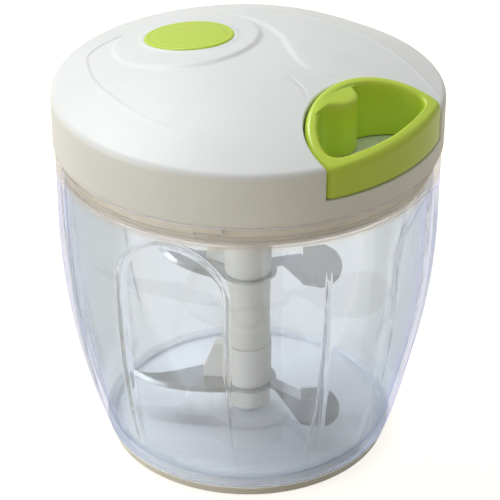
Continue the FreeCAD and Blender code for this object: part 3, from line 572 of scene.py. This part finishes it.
def bossPlace(slot, angle):
    # column on the ring's inner side that holds the cord's knot, open underneath
    full = bossReach(angle)
    spots = [(0, 0), (0.35, 0), (0.7, 0), ("in", 1.1, 0.04), ("in", 0.6, 0.24), ("in", 0.22, 0.6),
             ("in", 0, 1.2), ("in", 0, 8.0)]
    r, z = np.zeros(slot.shape), np.zeros(slot.shape)
    for k, spot in enumerate(spots):
        reach = full * spot[0] if len(spot) == 2 else full - spot[1]
        r, z = np.where(slot == k, reach, r), np.where(slot == k, -spot[-1], z)
    for k, (inset, level) in enumerate([(0, 0.4), (0.3, 0)]):
        r = np.where(slot == len(spots) + k, full - inset, r)
        z = np.where(slot == len(spots) + k, handle["bottom"] + level, z)
    for k, (radius, level) in enumerate([(2.9, 0), (2.9, 6.2), (0, 6.2)], 2):
        r = np.where(slot == len(spots) + k, np.minimum(radius, full), r)
        z = np.where(slot == len(spots) + k, handle["bottom"] + level, z)
    x, y = handle["bossX"] + r * np.cos(angle), handle["bossY"] + r * np.sin(angle)
    return x, y, np.where(z > 0, z, aboveDome(x, y, handle["bossProud"]) + z)


ring = shaped(wheel(len(ringProfile()) + 1, handle["ringSteps"], first=1), ringPlace)
boss = shaped(wheel(handle["bossSlots"], handle["bossSteps"]), bossPlace)
bossMesh = bpy.data.meshes.new("boss")
boss.to_mesh(bossMesh)
boss.free()
ring.from_mesh(bossMesh)
addPiece(ring, "ringHandle", "handle", "lime_plastic", ["pull_handle"])


# ---- clear bowl ----

bowl = {
    "rim": 64.4, "wall": 2.3, "curve": 244.0, "straight": 86.0, "floor": 4.8, "foot": 2.2, "corner": 7.0,
    "panelAngle": -70.7, "panelDepth": 1.7, "panelTop": 104.5, "panelArch": 17.0, "panelWide": 19.75,
    "panelNarrow": 18.5, "low": 9.0, "spikeAngle": -23.7, "spikeDepth": 1.4, "spikeTop": 91.0,
    "spikeHalf": 2.2, "keyAngle": -58.7, "keyHalf": 4.8, "ledge": 0.3, "ledgeHeight": 106.7, "steps": 760,
}


def wallRadius(z):
    drop = np.maximum(bowl["straight"] - z, 0)
    return bowl["rim"] - bowl["curve"] + np.sqrt(bowl["curve"] ** 2 - drop ** 2)


def quarter(angle, first):
    # angle from the nearest of four places a quarter turn apart
    return (angle - math.radians(first) + np.pi / 4) % (np.pi / 2) - np.pi / 4


def pressed(z, angle):
    # how far the arched panels and the tall wedges push the wall in
    run = bowl["straight"] - bowl["low"]
    depth = 1 - (np.clip(bowl["straight"] - z, 0, run) / run) ** 2
    y = wallRadius(z) * np.sin(quarter(angle, bowl["panelAngle"]))
    shoulder = bowl["panelTop"] - bowl["panelArch"]
    widen = bowl["panelWide"] - bowl["panelNarrow"]
    half = bowl["panelNarrow"] + widen * (z - bowl["low"]) / (shoulder - bowl["low"])
    arch = (bowl["panelWide"] ** 2 + bowl["panelArch"] ** 2) / (2 * bowl["panelArch"])
    within = np.where(z < shoulder, half - np.abs(y), arch - np.hypot(y, z - bowl["panelTop"] + arch))
    panel = smooth(within, -0.3, 1.5) * bowl["panelDepth"]
    y = wallRadius(z) * np.sin(quarter(angle, bowl["spikeAngle"]))
    within = bowl["spikeHalf"] * (bowl["spikeTop"] - z) / (bowl["spikeTop"] - bowl["low"]) - np.abs(y)
    spike = smooth(within, -0.3, 0.7) * bowl["spikeDepth"]
    return np.maximum(panel, spike) * depth


def bowlProfile():
    # radius and height, where None is the wall's outside and -1 its inside: underside, foot, outside, rim,
    # inside, floor, pin hole
    points = [(r, bowl["foot"]) for r in (0, 20, 40, 46.6)]
    points += [(47.7, 2.4), (47.95, 2.8), (47.97, 3.6), (48.2, 3.85), (49.7, 3.9), (50.1, 4.1)]
    points += [(None, z) for z in (*np.linspace(4.7, 84, 20), *np.linspace(85, 106, 26))]
    points += [(None, z) for z in (108, 110, 111.5, 113)]
    points += [(64.3, 113.35), (64.0, 113.55), (63.2, 113.6), (62.6, 113.55), (62.25, 113.35)]
    points += [(-1, z) for z in (113, 110.5, 109, 107.4, 107, 106.7, 106.4, 106, 105.4)]
    points += [(-1, z) for z in (*np.linspace(104.5, 85, 22), *np.linspace(83, 13, 16))]
    inner = float(wallRadius(np.array(12.0))) - bowl["wall"]
    corner, turns = bowl["corner"], np.linspace(0.1, math.pi / 2, 9)
    points += [(inner - corner + corner * math.cos(t), bowl["floor"] + corner - corner * math.sin(t))
               for t in turns]
    points += [(r, bowl["floor"]) for r in (38, 30, 20, 10, 6.0)]
    points += [(5.2, 5.1), (5.0, 7.0), (4.6, 7.4), (2.4, 7.4), (2.0, 7.0), (2.0, 2.7), (0, 2.7)]
    return points


def bowlPlace(slot, angle):
    points = bowlProfile()
    kind = np.array([0 if r is None else 1 if r == -1 else 2 for r, z in points])[slot]
    radius = np.array([0.0 if r is None else r for r, z in points])[slot]
    z = np.array([z for r, z in points], float)[slot]
    ledge = ridge(z - bowl["ledgeHeight"], bowl["ledge"], 0.35)
    inset = np.where(kind == 1, bowl["wall"] + ledge, 0)
    r = np.where(kind == 2, radius, wallRadius(z) - inset - pressed(z, angle))
    y = bowl["rim"] * np.sin(quarter(angle, bowl["keyAngle"]))
    keyway = smooth(bowl["keyHalf"] - np.abs(y), 0, 0.5) * (z > 110.1) * ((kind == 1) | (radius == 62.25))
    return (r + keyway) * np.cos(angle), (r + keyway) * np.sin(angle), z


clearBowl = shaped(wheel(len(bowlProfile()), bowl["steps"]), bowlPlace)
addPiece(clearBowl, "clearBowl", "bowl", "clear_plastic", ["bowl"], 50)


# ---- cord from the reel to the handle ----

cord = {
    "radius": 1.1, "height": 125.5, "inner": 27.1, "leaves": (11.95, -13.45), "end": 36.6, "slots": 60,
    "bendShare": 0.3, "steps": 16,
}


def cordPlace(slot, angle):
    # from the reel to the bend behind the eyelet, then straight along the pull
    share = np.clip(slot / cord["slots"], 0, 1)
    bend, turned = cord["inner"], cord["bendShare"]
    x = np.where(share < turned, cord["leaves"][0] + (bend - cord["leaves"][0]) * share / turned,
                 bend + (cord["end"] - bend) * (share - turned) / (1 - turned))
    y = np.where(share < turned, cord["leaves"][1] * (1 - share / turned), 0)
    lean = np.where(share < turned, 0.7, 1.0)
    size = np.where((slot == 0) | (slot == cord["slots"]), 0, cord["radius"])
    return (x - (1 - lean) * size * np.cos(angle), y + size * np.cos(angle) * lean,
            cord["height"] + size * np.sin(angle))


cordLead = shaped(wheel(cord["slots"] + 1, cord["steps"]), cordPlace)
lead = addPiece(cordLead, "cordLead", None, "cord", ["cord_lead"])
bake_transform(lead)
print("pieces made")


# ---- floor, light and camera ----

view = {
    "azimuth": 42.8, "elevation": 30.53, "aim": 68.2, "distance": 700.0, "lens": 146.25, "shift": 0.0036,
}
turn, lift = math.radians(view["azimuth"]), math.radians(view["elevation"])
right = Vector((math.cos(turn), math.sin(turn), 0))
away = Vector((-math.sin(turn), math.cos(turn), 0))


def seenWhite(start):
    # 1 for rays whose target shows as background: seen directly, in a reflection, or through the bowl
    seen, glossy, through = [start.node("LightPath", {}, k) for k in (0, 3, 6)]
    total = seen + through + glossy * 0.5
    return total.math("MINIMUM", total, 1.0)


def makeFloor():
    bm = bmesh.new()
    bmesh.ops.create_grid(bm, x_segments=8, y_segments=8, size=4.0)
    mesh = bpy.data.meshes.new("floor")
    bm.to_mesh(mesh)
    bm.free()
    made = material("floorPaper", {"Roughness": 0.8}, lambda place: {
        "Base Color": place.noise(60, 3).mix(colour("c5b89b"), colour("c1b497")),
        "Emission Strength": seenWhite(place) * 0.8,
    })
    made.node_tree.nodes["Principled BSDF"].inputs["Emission Color"].default_value = (1, 1, 1, 1)
    mesh.materials.append(made)
    floor = bpy.data.objects.new("floor", mesh)
    floor.location.z = -0.0003
    bpy.context.scene.collection.objects.link(floor)


def makeWorld():
    world = bpy.data.worlds.new("studio")
    bpy.context.scene.world = world
    world.use_nodes = True
    tree = world.node_tree
    start = Wire(tree, None)
    direction = start.node("TexCoord", {}, 0)
    up = direction.part("Z").ramp(-0.1, 1.0)
    room = up.mix(colour("aa9c7e"), colour("e0e6ef"))
    shown = seenWhite(start)
    start.feed(tree.nodes["Background"].inputs["Color"], shown.mix(room, (1, 1, 1, 1)))
    start.feed(tree.nodes["Background"].inputs["Strength"], 0.57 + shown * 0.43)


def makeLamp(name, place, target, size, power, tint):
    light = bpy.data.lights.new(name, "AREA")
    light.shape = "DISK"
    light.size = size
    light.energy = power
    light.color = tint
    lamp = bpy.data.objects.new(name, light)
    lamp.location = right * place[0] + away * place[1] + Vector((0, 0, place[2]))
    lamp.rotation_euler = (Vector(target) - lamp.location).to_track_quat("-Z", "Y").to_euler()
    bpy.context.scene.collection.objects.link(lamp)


makeFloor()
makeWorld()
makeLamp("keyLamp", (-0.6, 0.75, 1.35), (0, 0, 0.1), 0.9, 14.3, (0.97, 1.0, 1.0))
makeLamp("sideLamp", (-1.15, -0.5, 0.36), (0, 0, 0.1), 0.7, 5.7, (0.97, 0.99, 1.0))

camera = bpy.data.objects.new("camera", bpy.data.cameras.new("camera"))
back = away * -math.cos(lift) + Vector((0, 0, math.sin(lift)))
camera.location = Vector((0, 0, view["aim"] * mm)) + back * view["distance"] * mm
camera.rotation_euler = back.to_track_quat("Z", "Y").to_euler()
camera.data.sensor_width = 36.0
camera.data.lens = view["lens"]
camera.data.shift_x = view["shift"]
camera.data.clip_start = 0.01
bpy.context.scene.collection.objects.link(camera)
bpy.context.scene.camera = camera
bpy.context.scene.view_settings.view_transform = "Standard"
print("studio made")
